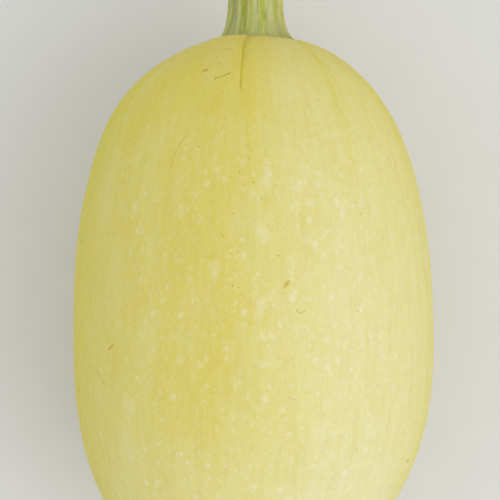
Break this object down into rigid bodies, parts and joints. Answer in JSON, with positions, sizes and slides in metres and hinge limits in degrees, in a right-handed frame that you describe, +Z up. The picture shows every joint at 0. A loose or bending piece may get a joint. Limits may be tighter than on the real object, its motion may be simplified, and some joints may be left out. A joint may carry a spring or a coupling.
{
  "type": "spaghetti squash",
  "caption": "Oblong pale-yellow spaghetti squash lying on its side, with a short ridged cut stem and a small blossom scar, resting on a small flat spot.",
  "frame": {"origin": "on the flat spot that the fruit rests on, straight below the fruit's widest ring", "axes": "+Y along the fruit's axis towards the stem, +Z up from the resting surface, +X to the right when seen from above with the stem at the far side"},
  "size_m": [0.1394, 0.2476, 0.1395],
  "materials": {
    "rind": "smooth waxy satin, pale yellow with cream flecks",
    "stem": "dry, ridged and corky, olive with pale ridges"
  },
  "bodies": {
    "root": {"fruit": "rind", "stem": "stem"}
  },
  "joints": []
}
